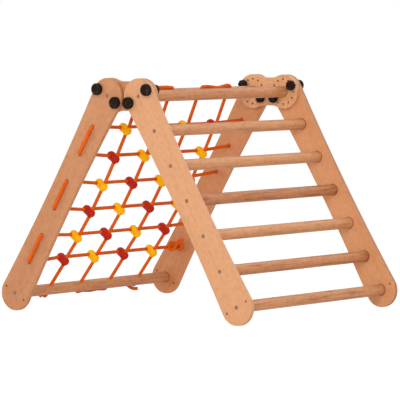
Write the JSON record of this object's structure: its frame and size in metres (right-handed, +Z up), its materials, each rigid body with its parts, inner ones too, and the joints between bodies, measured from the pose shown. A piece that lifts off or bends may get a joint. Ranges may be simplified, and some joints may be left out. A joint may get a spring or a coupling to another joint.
{
  "type": "folding climbing triangle",
  "caption": "Folding wooden climbing triangle with a rung ladder side and a rope-net side, hinged on drilled plates and locked by knobbed bolts.",
  "frame": {"origin": "on the floor, under the middle of the frame", "axes": "+X towards the ladder side, +Y along the rungs to the far rails, +Z up"},
  "size_m": [0.963, 0.8146, 0.7297],
  "materials": {
    "beech_light": "satin",
    "beech_dark": "satin",
    "beech_dowel": "satin",
    "screw_steel": "satin",
    "black_plastic": "matte",
    "orange_rope": "braided",
    "yellow_plastic": "gloss",
    "red_plastic": "gloss"
  },
  "bodies": {
    "net_frame": {"net_rail_near": "beech_dark", "net_rail_far": "beech_dark", "net_top_bar": "beech_dowel", "net_bottom_bar": "beech_dowel", "net_screws": "screw_steel", "net_lock_nuts": "black_plastic", "net_rope_across": "orange_rope", "net_rope_down": "orange_rope", "net_bead_1_1": "yellow_plastic", "net_bead_1_2": "red_plastic", "net_bead_1_3": "yellow_plastic", "net_bead_1_4": "red_plastic", "net_bead_2_1": "red_plastic", "net_bead_2_2": "yellow_plastic", "net_bead_2_3": "red_plastic", "net_bead_2_4": "yellow_plastic", "net_bead_3_1": "yellow_plastic", "net_bead_3_2": "red_plastic", "net_bead_3_3": "yellow_plastic", "net_bead_3_4": "red_plastic", "net_bead_4_1": "red_plastic", "net_bead_4_2": "yellow_plastic", "net_bead_4_3": "red_plastic", "net_bead_4_4": "yellow_plastic", "net_bead_5_1": "yellow_plastic", "net_bead_5_2": "red_plastic", "net_bead_5_3": "yellow_plastic", "net_bead_5_4": "red_plastic", "net_bead_6_1": "red_plastic", "net_bead_6_2": "yellow_plastic", "net_bead_6_3": "red_plastic", "net_bead_6_4": "yellow_plastic"},
    "hinge_plates": {"hinge_plate_near": "beech_light", "hinge_plate_far": "beech_light"},
    "ladder_frame": {"ladder_rail_near": "beech_light", "ladder_rail_far": "beech_light", "ladder_rung_1": "beech_dowel", "ladder_rung_2": "beech_dowel", "ladder_rung_3": "beech_dowel", "ladder_rung_4": "beech_dowel", "ladder_rung_5": "beech_dowel", "ladder_rung_6": "beech_dowel", "ladder_rung_7": "beech_dowel", "ladder_screws": "screw_steel", "ladder_lock_nuts": "black_plastic"},
    "ladder_near_high_lock": {"lock_knob_ladder_near_high": "black_plastic"},
    "ladder_near_low_lock": {"lock_knob_ladder_near_low": "black_plastic"},
    "ladder_far_high_lock": {"lock_knob_ladder_far_high": "black_plastic"},
    "ladder_far_low_lock": {"lock_knob_ladder_far_low": "black_plastic"},
    "net_near_high_lock": {"lock_knob_net_near_high": "black_plastic"},
    "net_near_low_lock": {"lock_knob_net_near_low": "black_plastic"},
    "net_far_high_lock": {"lock_knob_net_far_high": "black_plastic"},
    "net_far_low_lock": {"lock_knob_net_far_low": "black_plastic"}
  },
  "joints": [
    {"name": "net_side_fold", "type": "hinge", "parent": "net_frame", "child": "hinge_plates", "pos_m": [-0.06, 0, 0.67473], "axis": [0, 1, 0], "range_deg": [-60, 30]},
    {"name": "ladder_side_fold", "type": "hinge", "parent": "hinge_plates", "child": "ladder_frame", "pos_m": [0.06, 0, 0.67473], "axis": [0, 1, 0], "range_deg": [-60, 30]},
    {"name": "ladder_near_high_lock_turn", "type": "hinge", "parent": "ladder_frame", "child": "ladder_near_high_lock", "pos_m": [0.09443, -0.395, 0.6951], "axis": [0, -1, 0], "continuous": true},
    {"name": "ladder_near_low_lock_turn", "type": "hinge", "parent": "ladder_frame", "child": "ladder_near_low_lock", "pos_m": [0.02557, -0.395, 0.65437], "axis": [0, -1, 0], "continuous": true},
    {"name": "ladder_far_high_lock_turn", "type": "hinge", "parent": "ladder_frame", "child": "ladder_far_high_lock", "pos_m": [0.09443, 0.395, 0.6951], "axis": [0, 1, 0], "continuous": true},
    {"name": "ladder_far_low_lock_turn", "type": "hinge", "parent": "ladder_frame", "child": "ladder_far_low_lock", "pos_m": [0.02557, 0.395, 0.65437], "axis": [0, 1, 0], "continuous": true},
    {"name": "net_near_high_lock_turn", "type": "hinge", "parent": "net_frame", "child": "net_near_high_lock", "pos_m": [-0.09443, -0.395, 0.6951], "axis": [0, -1, 0], "continuous": true},
    {"name": "net_near_low_lock_turn", "type": "hinge", "parent": "net_frame", "child": "net_near_low_lock", "pos_m": [-0.02557, -0.395, 0.65437], "axis": [0, -1, 0], "continuous": true},
    {"name": "net_far_high_lock_turn", "type": "hinge", "parent": "net_frame", "child": "net_far_high_lock", "pos_m": [-0.09443, 0.395, 0.6951], "axis": [0, 1, 0], "continuous": true},
    {"name": "net_far_low_lock_turn", "type": "hinge", "parent": "net_frame", "child": "net_far_low_lock", "pos_m": [-0.02557, 0.395, 0.65437], "axis": [0, 1, 0], "continuous": true}
  ]
}
